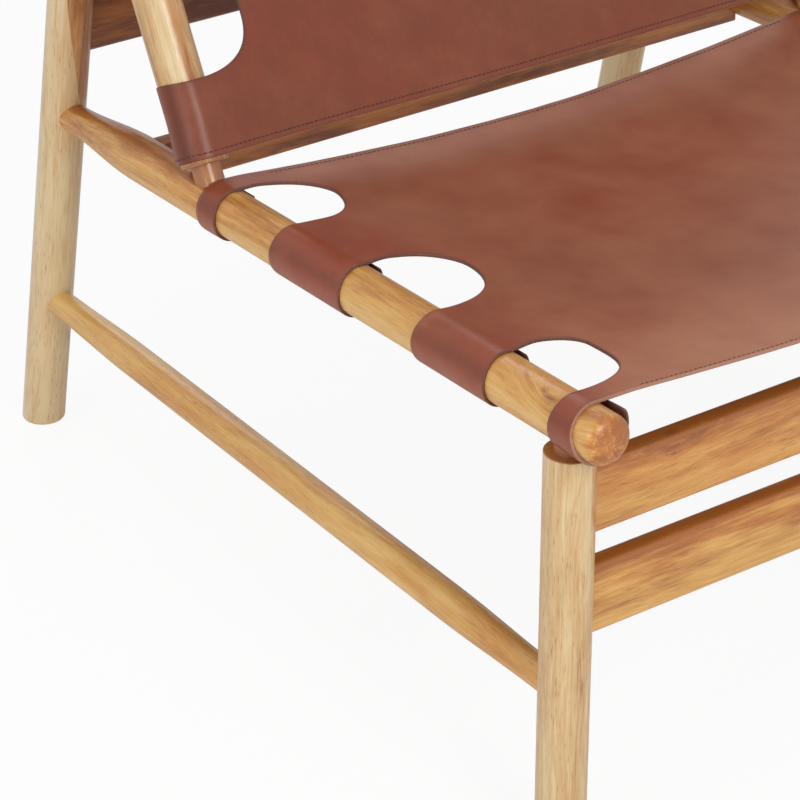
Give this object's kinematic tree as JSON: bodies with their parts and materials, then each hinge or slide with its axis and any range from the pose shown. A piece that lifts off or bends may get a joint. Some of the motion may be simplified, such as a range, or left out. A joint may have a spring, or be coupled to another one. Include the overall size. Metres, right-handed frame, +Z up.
{
  "type": "leather lounge chair",
  "caption": "Low armless lounge chair with a round-bar teak frame, flat cross rails and looped saddle-leather seat and back slings.",
  "frame": {"origin": "on the floor, under the middle of the chair's outline", "axes": "+Z up, the chair faces -Y, +X towards the sitter's left"},
  "size_m": [0.7006, 0.88, 0.8092],
  "materials": {
    "teak_pale": "satin lacquered teak",
    "teak_warm": "satin lacquered teak, orange-brown",
    "cognac_leather": "smooth vegetable-tanned saddle leather",
    "steel": "bright zinc plate",
    "nylon": "matt black"
  },
  "bodies": {
    "root": {"back_post_left": "teak_pale", "back_post_right": "teak_pale", "back_screw_left_1": "steel", "back_screw_left_2": "steel", "back_screw_left_3": "steel", "back_screw_left_4": "steel", "back_screw_right_1": "steel", "back_screw_right_2": "steel", "back_screw_right_3": "steel", "back_screw_right_4": "steel", "back_sling": "cognac_leather", "back_top_bar": "teak_warm", "front_leg_left": "teak_pale", "front_leg_right": "teak_pale", "front_rail_lower": "teak_warm", "front_rail_upper": "teak_warm", "glide_front_left": "nylon", "glide_front_right": "nylon", "glide_rear_left": "nylon", "glide_rear_right": "nylon", "rear_leg_left": "teak_pale", "rear_leg_right": "teak_pale", "rear_rail": "teak_warm", "seat_cross_rail": "teak_warm", "seat_rail_left": "teak_warm", "seat_rail_right": "teak_warm", "seat_screw_left_1": "steel", "seat_screw_left_2": "steel", "seat_screw_left_3": "steel", "seat_screw_left_4": "steel", "seat_screw_left_5": "steel", "seat_screw_left_6": "steel", "seat_screw_right_1": "steel", "seat_screw_right_2": "steel", "seat_screw_right_3": "steel", "seat_screw_right_4": "steel", "seat_screw_right_5": "steel", "seat_screw_right_6": "steel", "seat_sling": "cognac_leather", "side_stretcher_left": "teak_warm", "side_stretcher_right": "teak_warm"}
  },
  "joints": []
}
